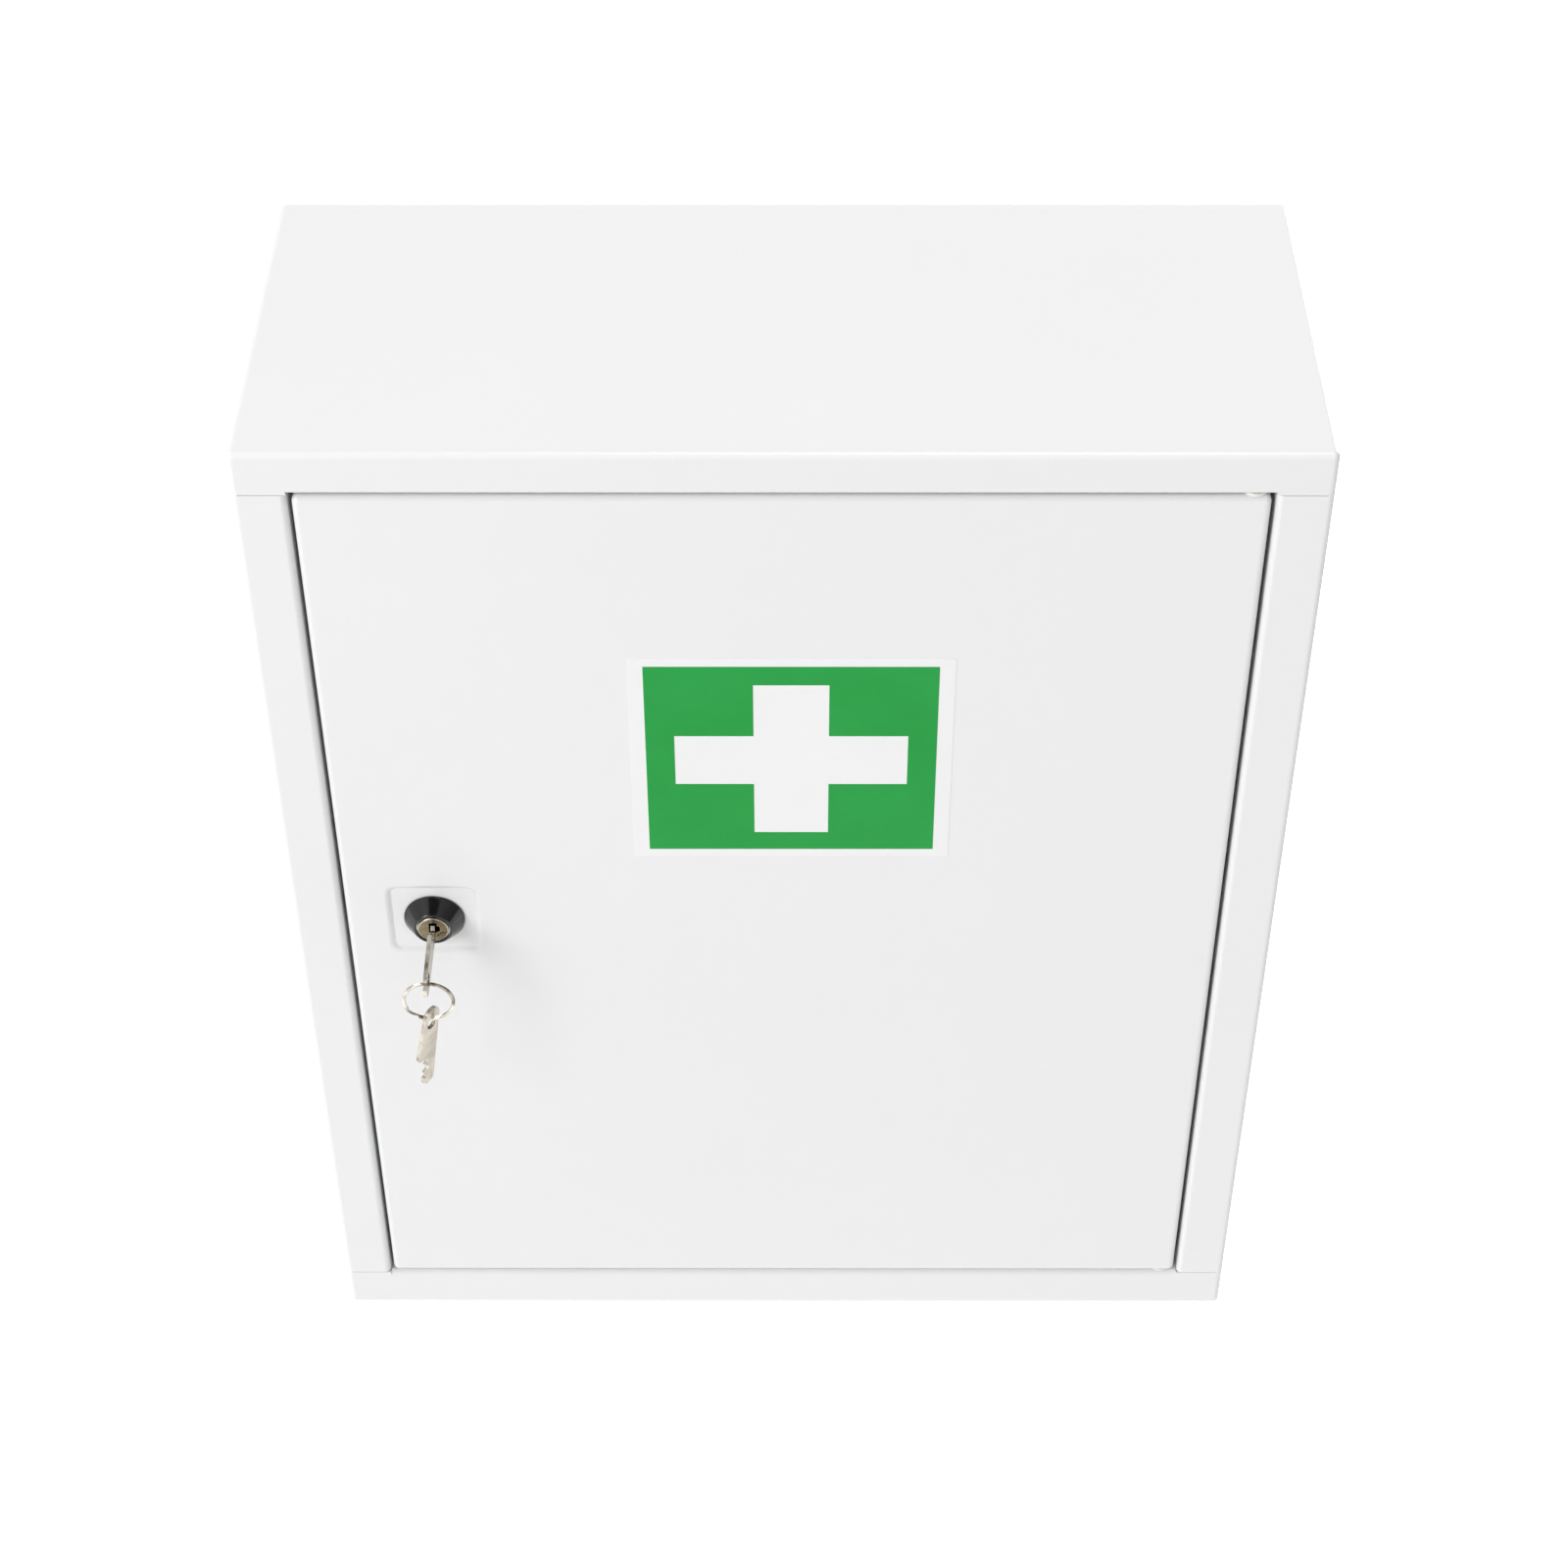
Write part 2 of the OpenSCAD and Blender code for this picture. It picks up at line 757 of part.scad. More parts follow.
module cam_screw() {
    slot_t = 1;
    color(steel_color) at_lock() translate([0, 0, cam_back_z - washer_t]) {
        cylinder(d = screw_d, h = screw_l + washer_t - 1);
        translate([0, 0, -screw_head_t]) difference() {
            union() {
                cylinder(d1 = screw_head_d - 2, d2 = screw_head_d, h = 1);
                translate([0, 0, 1]) cylinder(d = screw_head_d, h = screw_head_t - 1);
            }
            for (turn = [0, 90]) rotate(turn)
                cube([screw_head_d - 2.4, slot_t, 2.4], center = true);
        }
    }
}

// ---- Keys and ring ----

module key_outline() {
    tip = 1.6;
    difference() {
        union() {
            hull() {
                translate([key_l - head_r, head_y]) circle(r = head_r);
                translate([blade_l + bow_corner_r, bow_w - blade_w / 2 - bow_corner_r])
                    circle(r = bow_corner_r);
                translate([blade_l, -blade_w / 2]) square([1, 1]);
            }
            polygon([[0, -blade_w / 2 + tip], [tip, -blade_w / 2], [blade_l + 1, -blade_w / 2],
                [blade_l + 1, blade_w / 2], [tip, blade_w / 2], [0, blade_w / 2 - tip]]);
        }
        translate([key_hole_x, key_hole_y]) circle(d = key_hole_d);
        translate([key_hole_x - key_hole_l + key_hole_d, key_hole_y]) circle(d = key_hole_d);
        translate([key_hole_x - key_hole_l + key_hole_d, key_hole_y - key_hole_d / 2])
            square([key_hole_l - key_hole_d, key_hole_d]);
        for (i = [0 : len(cut_depths) - 1])
            translate([tip + cut_pitch * (i + 0.5), blade_w / 2])
                polygon([[-cut_w / 2, -cut_depths[i]], [cut_w / 2, -cut_depths[i]],
                    [cut_w / 2 + cut_depths[i], eps], [-cut_w / 2 - cut_depths[i], eps]]);
    }
}

// A key lying flat, with the middle of its thickness at z = 0
module key_blank() {
    translate([0, 0, -key_t / 2]) linear_extrude(height = key_t) key_outline();
}

// The key in the lock is drawn out a little, with its cuts upward
module lock_key() {
    color(nickel_color) from_front() translate([lock_x, key_l - key_out, lock_z])
        rotate([90, 0, -90]) key_blank();
}

module split_ring() {
    color(nickel_color) from_front() translate([lock_x, ring_y, ring_mid_z]) rotate([90, 0, 0])
        difference() {
            rotate_extrude($fn = 96) translate([ring_mid_r, 0])
                for (side = [-1, 1]) translate([0, side * wire_t / 2]) {
                    square([wire_w - wire_t, wire_t], center = true);
                    for (end = [-1, 1])
                        translate([end * (wire_w - wire_t) / 2, 0]) circle(d = wire_t, $fn = 24);
                }
            for (i = [0, 1])
                rotate(ring_gap_angles[i]) translate([ring_mid_r, 0, (0.5 - i) * 2 * wire_t])
                    cube([2 * wire_w, 0.4, 2 * wire_t], center = true);
        }
}

// The spare key hangs with the head end of its hole on the ring, and its cuts to the left
module spare_key() {
    color(nickel_color) from_front() translate([lock_x, ring_y, ring_low_z])
        rotate([0, spare_lean, 0]) rotate([0, -90, 90 + spare_turn])
            translate([-key_hole_x - spare_hang, -key_hole_y, 0]) key_blank();
}

top_wall();
bottom_wall();
lock_side_wall();
hinge_side_wall();
back_rim();
upper_lip();
lower_lip();
lock_side_lip();
door_landing();
hinge_side_lip();
back_panel();
upper_shelf();
lower_shelf();
upper_left_rail();
upper_right_rail();
lower_left_rail();
lower_right_rail();
upper_pivot_pin();
lower_pivot_pin();
door_bumpers();
door_panel();
upper_bush();
lower_bush();
sticker_base();
sticker_print();
lock_bezel();
lock_barrel();
lock_nut();
lock_plug();
lock_cam();
cam_washer();
cam_screw();
lock_key();
split_ring();
spare_key();
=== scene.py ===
# Looks of the wall-hung medicine cabinet: powder-coated folded sheet, sticker, cam lock and keys.
import json
import math

import bpy
from mathutils import Matrix, Vector


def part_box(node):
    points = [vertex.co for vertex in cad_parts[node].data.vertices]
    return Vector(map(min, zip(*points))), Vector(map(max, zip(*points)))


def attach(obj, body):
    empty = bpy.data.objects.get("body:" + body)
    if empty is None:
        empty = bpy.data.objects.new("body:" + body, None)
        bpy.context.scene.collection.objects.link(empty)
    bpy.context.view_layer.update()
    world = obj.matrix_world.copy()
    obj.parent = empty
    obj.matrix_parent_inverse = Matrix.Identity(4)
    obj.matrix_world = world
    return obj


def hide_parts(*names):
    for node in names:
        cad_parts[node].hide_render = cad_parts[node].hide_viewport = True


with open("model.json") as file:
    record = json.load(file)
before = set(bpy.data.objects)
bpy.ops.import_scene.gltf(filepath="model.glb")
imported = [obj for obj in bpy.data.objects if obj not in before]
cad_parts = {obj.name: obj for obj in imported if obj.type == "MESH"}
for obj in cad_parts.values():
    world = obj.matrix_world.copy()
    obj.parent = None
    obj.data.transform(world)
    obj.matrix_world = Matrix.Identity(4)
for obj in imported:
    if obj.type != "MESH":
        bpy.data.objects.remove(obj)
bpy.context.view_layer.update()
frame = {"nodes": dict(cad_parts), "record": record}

MM = 0.001
FRONT_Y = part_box("door_panel")[0].y
bezel_low, bezel_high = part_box("lock_bezel")
LOCK_X = (bezel_low.x + bezel_high.x) / 2
LOCK_Z = (bezel_low.z + bezel_high.z) / 2


def on_lock_axis(out, up=0):
    """The point so many mm in front of the door's face and above the lock's axis, in metres."""
    return Vector((LOCK_X, FRONT_Y - out * MM, LOCK_Z + up * MM))


# ---- Working by hand: selecting, cutting and finishing ----

def deselect_all():
    if bpy.context.object and bpy.context.object.mode != "OBJECT":
        bpy.ops.object.mode_set(mode="OBJECT")
    bpy.ops.object.select_all(action="DESELECT")


def take(piece):
    deselect_all()
    piece.select_set(True)
    bpy.context.view_layer.objects.active = piece


def edit(piece, mode="FACE", action="SELECT"):
    """Opens the piece for editing, with everything or nothing selected."""
    take(piece)
    bpy.ops.object.mode_set(mode="EDIT")
    bpy.ops.mesh.select_mode(type=mode)
    bpy.ops.mesh.select_all(action=action)


def leave():
    bpy.ops.object.mode_set(mode="OBJECT")


def settle(piece):
    """Puts the piece's place into its mesh, so that the object is at the origin."""
    take(piece)
    bpy.ops.object.transform_apply(location=True, rotation=True, scale=True)


def place(piece, matrix):
    piece.matrix_world = matrix
    settle(piece)
    return piece


def copy_of(source, name):
    twin = bpy.data.objects.new(name, source.data.copy())
    bpy.context.scene.collection.objects.link(twin)
    return twin


def tidy_flats(piece):
    """Merges doubled points and clears the lines that cross flat faces."""
    edit(piece)
    bpy.ops.mesh.remove_doubles(threshold=0.002 * MM)
    bpy.ops.mesh.dissolve_limited(angle_limit=math.radians(0.4))
    leave()


def merged_copy(node, name):
    """A copy of a CAD node's mesh with its doubles merged and its flat faces whole."""
    piece = copy_of(frame["nodes"][node], name)
    tidy_flats(piece)
    return piece


def apply_all(piece):
    take(piece)
    for name in [modifier.name for modifier in piece.modifiers]:
        bpy.ops.object.modifier_apply(modifier=name)


def soften(piece, width, segments=2):
    """Breaks the sharp edges, as a coat or a tumbler does."""
    bevel = piece.modifiers.new("soft edges", "BEVEL")
    bevel.width = width
    bevel.segments = segments
    bevel.limit_method = "ANGLE"
    bevel.angle_limit = math.radians(50)
    bevel.miter_outer = "MITER_ARC"
    apply_all(piece)


def shade_round(piece, angle=35):
    take(piece)
    bpy.ops.object.shade_smooth_by_angle(angle=math.radians(angle))


def keep_flats(piece):
    weights = piece.modifiers.new("flat faces stay flat", "WEIGHTED_NORMAL")
    weights.keep_sharp = True
    apply_all(piece)


def smooth(piece, angle=35):
    shade_round(piece, angle)
    keep_flats(piece)


def combine(piece, other, operation):
    """Cuts the other shape out of the piece, or makes the two one solid."""
    carve = piece.modifiers.new("combine", "BOOLEAN")
    carve.operation = operation
    carve.solver = "EXACT"
    carve.object = other
    apply_all(piece)
    bpy.data.objects.remove(other)


def close_up(piece):
    """Merges doubled points and turns every face outwards."""
    edit(piece)
    bpy.ops.mesh.remove_doubles(threshold=0.001 * MM)
    bpy.ops.mesh.normals_make_consistent(inside=False)
    leave()


def turned(name, profile, sides=96):
    """A turned piece on the lock's axis.
    The profile's rows are (radius, distance in front of the door), in mm."""
    deselect_all()
    radius, out = profile[0]
    bpy.ops.mesh.primitive_circle_add(vertices=sides, radius=radius * MM,
                                      rotation=(math.pi / 2, 0, 0), location=on_lock_axis(out))
    piece = bpy.context.object
    piece.name = name
    settle(piece)
    edit(piece, "EDGE")
    for next_radius, next_out in (*profile[1:], profile[0]):
        shift = (0, (out - next_out) * MM, 0)
        bpy.ops.mesh.extrude_region_move(TRANSFORM_OT_translate={"value": shift})
        if next_radius != radius:
            share = next_radius / radius
            bpy.ops.transform.resize(value=(share, 1, share),
                                     center_override=on_lock_axis(next_out))
        radius, out = next_radius, next_out
    leave()
    close_up(piece)
    return piece


def block(size, centre):
    """A cutter: a block of that size in mm about that centre in metres."""
    deselect_all()
    bpy.ops.mesh.primitive_cube_add(size=1, location=centre)
    piece = bpy.context.object
    piece.scale = [side * MM for side in size]
    settle(piece)
    return piece


# ---- Node trees ----

NOISE_LOW, NOISE_HIGH = 0.3, 0.7    # nearly all of a noise's values lie between these


def new_finish(name, color, metallic=0.0, roughness=0.5):
    finish = bpy.data.materials.new(name)
    finish.use_nodes = True
    shader = finish.node_tree.nodes["Principled BSDF"]
    shader.inputs["Base Color"].default_value = (*color, 1)
    shader.inputs["Metallic"].default_value = metallic
    shader.inputs["Roughness"].default_value = roughness
    return finish, finish.node_tree, shader


def coordinates(tree, stretch=(1, 1, 1)):
    source = tree.nodes.new("ShaderNodeTexCoord")
    mapping = tree.nodes.new("ShaderNodeMapping")
    mapping.inputs["Scale"].default_value = stretch
    tree.links.new(source.outputs["Object"], mapping.inputs["Vector"])
    return mapping.outputs["Vector"]


def grain(tree, where, scale, detail=2.0, rough=0.5):
    noise = tree.nodes.new("ShaderNodeTexNoise")
    noise.inputs["Scale"].default_value = scale
    noise.inputs["Detail"].default_value = detail
    noise.inputs["Roughness"].default_value = rough
    tree.links.new(where, noise.inputs["Vector"])
    return noise.outputs["Fac"]


def mixed(tree, operation, first, second):
    """Arithmetic on two numbers, each a socket or a plain value."""
    node = tree.nodes.new("ShaderNodeMath")
    node.operation = operation
    for socket, value in zip(node.inputs, (first, second)):
        if isinstance(value, (int, float)):
            socket.default_value = value
        else:
            tree.links.new(value, socket)
    return node.outputs[0]


def ranged(tree, value, from_low, from_high, to_low, to_high, kind="LINEAR"):
    """The value carried over from one range to another, and held at its ends."""
    fit = tree.nodes.new("ShaderNodeMapRange")
    fit.interpolation_type = kind
    for name, number in (("From Min", from_low), ("From Max", from_high),
                         ("To Min", to_low), ("To Max", to_high)):
        fit.inputs[name].default_value = number
    tree.links.new(value, fit.inputs["Value"])
    return fit.outputs["Result"]


def colour_between(tree, shader, noise, dark, light, low=NOISE_LOW, high=NOISE_HIGH):
    """The base colour wanders between two shades."""
    ramp = tree.nodes.new("ShaderNodeValToRGB")
    for stop, position, shade in zip(ramp.color_ramp.elements, (low, high), (dark, light)):
        stop.position = position
        stop.color = (*shade, 1)
    tree.links.new(noise, ramp.inputs["Fac"])
    tree.links.new(ramp.outputs["Color"], shader.inputs["Base Color"])


def roughness_between(tree, shader, noise, low, high):
    """The roughness wanders between two values."""
    tree.links.new(ranged(tree, noise, NOISE_LOW, NOISE_HIGH, low, high),
                   shader.inputs["Roughness"])


def relief(tree, shader, height, depth, strength, under=None):
    bump = tree.nodes.new("ShaderNodeBump")
    bump.inputs["Strength"].default_value = strength
    bump.inputs["Distance"].default_value = depth
    tree.links.new(height, bump.inputs["Height"])
    if under is not None:
        tree.links.new(under, bump.inputs["Normal"])
    tree.links.new(bump.outputs["Normal"], shader.inputs["Normal"])
    return bump.outputs["Normal"]


# ---- Finishes: noise scales are counts per metre, roughly ----

def powder_coat():
    """Satin white coat: fine orange peel over sheet that is never quite flat."""
    finish, tree, shader = new_finish("white powder coat", (0.82, 0.82, 0.82), roughness=0.24)
    shader.inputs["Specular IOR Level"].default_value = 0.5
    where = coordinates(tree)
    colour_between(tree, shader, grain(tree, where, 7),
                   (0.816, 0.817, 0.820), (0.826, 0.826, 0.826))
    roughness_between(tree, shader, grain(tree, where, 700), 0.22, 0.26)
    sheet = relief(tree, shader, grain(tree, where, 2.5, 0), 0.8 * MM, 0.4)
    relief(tree, shader, grain(tree, where, 620, 1), 0.02 * MM, 0.4, sheet)
    return finish


def plated(name, dark, light, rough_low, rough_high, brush=(1, 1, 1), scratch_depth=0.01,
           tarnish=260):
    """Metal plate with faint brushed scratches and uneven tarnish."""
    finish, tree, shader = new_finish(name, light, metallic=1.0, roughness=rough_low)
    spots = grain(tree, coordinates(tree), tarnish, 4, 0.6)
    colour_between(tree, shader, spots, dark, light, 0.38, 0.62)
    lines = grain(tree, coordinates(tree, brush), 900, 3, 0.6)
    roughness_between(tree, shader, lines, rough_low, rough_high)
    relief(tree, shader, lines, scratch_depth * MM, 0.6)
    return finish


def black_gloss():
    finish, tree, shader = new_finish("black gloss bezel", (0.010, 0.010, 0.011), roughness=0.09)
    where = coordinates(tree)
    colour_between(tree, shader, grain(tree, where, 400, 3),
                   (0.007, 0.007, 0.008), (0.013, 0.013, 0.014))
    roughness_between(tree, shader, grain(tree, where, 700, 3), 0.07, 0.12)
    relief(tree, shader, grain(tree, where, 300), 0.004 * MM, 0.4)
    return finish


def film(name, dark, light, roughness):
    """Printed vinyl film with a faint grain."""
    finish, tree, shader = new_finish(name, light, roughness=roughness)
    shader.inputs["Specular IOR Level"].default_value = 0.2
    where = coordinates(tree)
    colour_between(tree, shader, grain(tree, where, 30, 4, 0.6), dark, light)
    roughness_between(tree, shader, grain(tree, where, 1200), roughness - 0.04, roughness + 0.05)
    relief(tree, shader, grain(tree, where, 260), 0.015 * MM, 0.4)
    return finish


def moulded(name, dark, light, roughness, clear=0.0):
    """Moulded nylon or rubber with a fine eroded skin."""
    finish, tree, shader = new_finish(name, light, roughness=roughness)
    shader.inputs["Transmission Weight"].default_value = clear
    where = coordinates(tree)
    colour_between(tree, shader, grain(tree, where, 200, 3), dark, light)
    roughness_between(tree, shader, grain(tree, where, 900), roughness - 0.06, roughness + 0.06)
    relief(tree, shader, grain(tree, where, 2200), 0.02 * MM, 0.5)
    return finish


ALONG_KEY = (6, 1, 6)
ACROSS_ZINC, ACROSS_PLUG = (1, 6, 1), (1, 4, 1)

FINISH_OF_SLOT = {
    "powder_coat": powder_coat(),
    "zinc_steel": plated("zinc plate", (0.55, 0.55, 0.535), (0.63, 0.63, 0.62),
                         0.26, 0.40, ACROSS_ZINC),
    "nickel_plate": plated("nickel plate", (0.58, 0.57, 0.54), (0.70, 0.69, 0.66), 0.16, 0.28),
    "plug_nickel": plated("worn plug nickel", (0.15, 0.12, 0.075), (0.21, 0.175, 0.115),
                          0.22, 0.36, ACROSS_PLUG),
    "key_nickel": plated("key nickel", (0.44, 0.40, 0.335), (0.58, 0.535, 0.46),
                         0.24, 0.40, ALONG_KEY, scratch_depth=0.02, tarnish=130),
    "ring_nickel": plated("ring nickel", (0.17, 0.15, 0.115), (0.66, 0.62, 0.545),
                          0.18, 0.30, tarnish=170),
    "black_gloss": black_gloss(),
    "white_vinyl": film("white vinyl", (0.865, 0.865, 0.865), (0.88, 0.88, 0.88), 0.34),
    "green_print": film("green print", (0.009, 0.315, 0.047), (0.013, 0.340, 0.056), 0.36),
    "clear_rubber": moulded("grey rubber", (0.28, 0.28, 0.27), (0.36, 0.36, 0.35), 0.5, clear=0.2),
    "nylon": moulded("natural nylon", (0.74, 0.74, 0.70), (0.80, 0.80, 0.77), 0.42),
}
# A lighter nickel for the ring of faces round the plug's face
plug_rim_lighter_nickel = plated("lighter plug rim nickel", (0.36, 0.325, 0.255), (0.50, 0.465, 0.385), 0.18, 0.30)
# Lock key's edges: dark blotches of nickel as painted shade on the spine
key_spine_painted_shade = plated("key spine with painted shade", (0.17, 0.15, 0.115), (0.60, 0.56, 0.48),
                      0.20, 0.34, tarnish=95)
# Spare key's edges: pale nickel as a painted highlight for the bright edge band, with dark
# blotches as painted shade
spare_edge_painted_highlight = plated("spare key edge with painted highlight", (0.26, 0.23, 0.18), (0.80, 0.765, 0.68),
                         0.18, 0.32, tarnish=55)

SLOT_OF_NODE = {part["node"]: part["material_slot"] for part in frame["record"]["subparts"]}
BODY_OF_NODE = {node: body for body, nodes in frame["record"]["behaviour"]["bodies"].items()
                for node in nodes}
for node, solid in frame["nodes"].items():
    solid.data.materials.clear()
    solid.data.materials.append(FINISH_OF_SLOT[SLOT_OF_NODE[node]])


def finished(piece, *nodes):
    """Hands a piece over in the place of the nodes, with the finish and body of the first."""
    slot = SLOT_OF_NODE[nodes[0]]
    piece.data.materials.clear()
    piece.data.materials.append(FINISH_OF_SLOT[slot])
    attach(piece, BODY_OF_NODE[nodes[0]])
    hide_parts(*nodes)


def second_finish(piece, finish, chosen):
    """Gives the chosen faces a finish of their own."""
    piece.data.materials.append(finish)
    for face in piece.data.polygons:
        if chosen(face):
            face.material_index = 1


# ---- Pieces that keep the shape of their CAD solid ----

COATED_EDGE = 0.12 * MM
TUMBLED_EDGE = 0.15 * MM
MOULDED_EDGE = 0.2 * MM
DISC_EDGE = 0.25 * MM
CASING_NODES = ("top_wall", "bottom_wall", "lock_side_wall", "hinge_side_wall", "back_rim",
                "upper_lip", "lower_lip", "lock_side_lip", "hinge_side_lip", "door_landing")


def folded_casing():
    """The casing as the one folded sheet that it is: its parts joined where the folds begin."""
    piece = merged_copy(CASING_NODES[0], "casing")
    for node in CASING_NODES[1:]:
        combine(piece, merged_copy(node, node + "_joined"), "UNION")
    tidy_flats(piece)
    soften(piece, COATED_EDGE)
    smooth(piece)
    finished(piece, *CASING_NODES)


def folded_door():
    """The door tray, with its front sheet's outlines and bends kept crisp."""
    piece = merged_copy("door_panel", "door")
    soften(piece, COATED_EDGE)
    shade_round(piece)
    # Softening leaves the front sheet and its bends selected
    bpy.ops.object.mode_set(mode="EDIT")
    bpy.ops.mesh.mark_sharp()
    leave()
    keep_flats(piece)
    finished(piece, "door_panel")


def softened(node, name, width, segments=2):
    piece = merged_copy(node, name)
    soften(piece, width, segments)
    smooth(piece)
    finished(piece, node)


folded_casing()
folded_door()
for node in ("back_panel", "upper_shelf", "lower_shelf",
             "upper_left_rail", "upper_right_rail", "lower_left_rail", "lower_right_rail"):
    softened(node, node + "_coated", COATED_EDGE)
for node in ("upper_pivot_pin", "lower_pivot_pin",
             "lock_nut", "lock_cam", "cam_washer", "cam_screw"):
    softened(node, node + "_deburred", TUMBLED_EDGE)
for node in ("upper_bush", "lower_bush"):
    softened(node, node + "_moulded", MOULDED_EDGE)
softened("door_bumpers", "landing_discs", DISC_EDGE, 3)


# ---- Lock ----

def lock_bezel():
    """Black cone with a rolled front edge, hollow behind for the barrel's flange and sleeve."""
    piece = turned("bezel", (
        (11.66, -1.0), (11.78, -0.88), (11.8, -0.7), (11.8, -0.36), (11.74, -0.2), (11.6, 0.06),
        (7.82, 5.2), (7.68, 5.42), (7.48, 5.6), (7.22, 5.72), (6.94, 5.76), (6.66, 5.72),
        (6.5, 5.6), (6.45, 5.42), (6.45, 5.0), (7.38, 5.0), (7.38, 0.2), (10.78, 0.2),
        (10.78, -1.0)), sides=128)
    smooth(piece)
    finished(piece, "lock_bezel")


def lock_barrel():
    """Flanged barrel: a sleeve inside the bezel, and behind the door a thread with two flats."""
    bore, crest, root = 6.2, 9.45, 8.9
    pitch, turns, first_turn, tail = 1.0, 16, -2.4, -19.0
    thread = []
    for turn in range(turns):
        start = first_turn - turn * pitch
        thread += [(crest, start), (crest, start - 0.15),
                   (root, start - 0.5), (root, start - 0.65)]
    piece = turned("barrel", (
        (bore, 5.0), (7.34, 5.0), (7.34, 0.2), (10.76, 0.2), (10.76, -1.0), (crest, -1.0),
        *thread, (root, tail + 0.3), (root - 0.3, tail), (bore, tail)))
    for side in (1, -1):
        flat = block((24, 18.5, 4), on_lock_axis(-10.3, side * 10.2))
        combine(piece, flat, "DIFFERENCE")
    smooth(piece, 25)
    finished(piece, "lock_barrel")


def lock_plug():
    """Plug with all its edges chamfered and a bright rim around its face."""
    chamfer, rim_depth, rim_inside = 0.55 * MM, 1.0 * MM, 5.6 * MM
    piece = merged_copy("lock_plug", "plug")
    face_y = min(point.co.y for point in piece.data.vertices)
    edit(piece)
    bpy.ops.mesh.bevel(offset=chamfer, segments=3, profile=0.4)
    leave()
    soften(piece, 0.1 * MM)
    smooth(piece)
    finished(piece, "lock_plug")
    second_finish(piece, plug_rim_lighter_nickel, lambda face: (
        face.center.y < face_y + rim_depth
        and math.hypot(face.center.x - LOCK_X, face.center.z - LOCK_Z) > rim_inside))


lock_bezel()
lock_barrel()
lock_plug()


# ---- Keys and ring ----

def turn_about(axis, degrees):
    return Matrix.Rotation(math.radians(degrees), 4, axis)


# A key's flat drawing runs from its tip along x, with its cuts towards y
KEY_HOLE = Vector((36.8, 1.5, 0)) * MM
KEY_THICKNESS = 1.6
KEY_EDGE = 0.22 * MM
TIP_BEHIND_DOOR = 1.9
IN_LOCK = (Matrix.Translation(on_lock_axis(-TIP_BEHIND_DOOR))
           @ turn_about("Z", -90) @ turn_about("X", 90))

RING_RADIUS = 9.5
RING_SAG = 1.2              # from the middle of the key's hole down to the wire in it
WIRE_HALF_HEIGHT = 0.315    # the wire is twice as wide as it is high
TURN_OFFSET = 0.325         # of each turn from the ring's middle
RING_CENTRE = IN_LOCK @ KEY_HOLE - Vector((0, 0, (RING_SAG + RING_RADIUS) * MM))

SPARE_LEAN, SPARE_SWIVEL, SPARE_SLIP = 8, 144, 0.65
ON_RING = (Matrix.Translation(RING_CENTRE - Vector((0, 0, RING_RADIUS * MM)))
           @ turn_about("Y", SPARE_LEAN) @ turn_about("Z", SPARE_SWIVEL) @ turn_about("Y", -90)
           @ Matrix.Translation(-KEY_HOLE - Vector((SPARE_SLIP * MM, 0, 0))))


def flat_key():
    """A key lying flat: its blade milled with a groove on both sides, all edges tumbled."""
    first_cut, last_cut, cut_bottoms = 1.7 * MM, 15 * MM, 0.5 * MM
    shift_to_bow = 1.7 * MM
    groove = (19, 1.1, 0.7)
    piece = place(merged_copy("lock_key", "key"), IN_LOCK.inverted())
    edit(piece, "VERT", "DESELECT")
    leave()
    for point in piece.data.vertices:
        point.select = first_cut < point.co.x < last_cut and point.co.y > cut_bottoms
    bpy.ops.object.mode_set(mode="EDIT")
    bpy.ops.transform.translate(value=(shift_to_bow, 0, 0))
    leave()
    for side in (1, -1):
        milled = block(groove, Vector((8.2, -0.9, side * KEY_THICKNESS / 2)) * MM)
        combine(piece, milled, "DIFFERENCE")
    soften(piece, KEY_EDGE, 3)
    smooth(piece)
    return piece


def paint_edge_light_and_shade(piece, lie, finish):
    """The key's edges get a finish of their own beside its broad faces: a painted highlight on the
    spare key, painted shade on the key in the lock.
    """
    broad_side = lie.to_3x3() @ Vector((0, 0, 1))
    second_finish(piece, finish, lambda face: abs(face.normal.dot(broad_side)) < 0.5)


def wire_ring():
    """Split ring: flat wire wound twice, stepping over from the front turn to the back one."""
    step, start, end = 6, 18, 702       # degrees along the wire
    crossing, crossing_half = 360, 18
    step_over_at = 225                  # where on the ring the wire steps over
    around = step_over_at + start
    out = Vector((math.cos(math.radians(around)), 0, math.sin(math.radians(around))))
    deselect_all()
    bpy.ops.mesh.primitive_circle_add(vertices=14, radius=WIRE_HALF_HEIGHT * MM)
    piece = bpy.context.object
    piece.name = "ring_wire"
    piece.scale = (2, 1, 1)
    settle(piece)
    first_end = RING_CENTRE + out * RING_RADIUS * MM + Vector((0, -TURN_OFFSET * MM, 0))
    place(piece, Matrix.Translation(first_end) @ turn_about("Y", -around))
    edit(piece, "EDGE")
    bpy.ops.mesh.edge_face_add()
    depth = -TURN_OFFSET
    for angle in range(start + step, end + 1, step):
        share = min(max((angle - crossing + crossing_half) / (2 * crossing_half), 0), 1)
        next_depth = TURN_OFFSET * (2 * share * share * (3 - 2 * share) - 1)
        bpy.ops.mesh.extrude_region_move(
            TRANSFORM_OT_translate={"value": (0, (next_depth - depth) * MM, 0)})
        bpy.ops.transform.rotate(value=math.radians(step), orient_axis="Y",
                                 orient_type="GLOBAL", center_override=RING_CENTRE)
        depth = next_depth
    leave()
    close_up(piece)
    soften(piece, 0.12 * MM)
    smooth(piece)
    finished(piece, "split_ring")


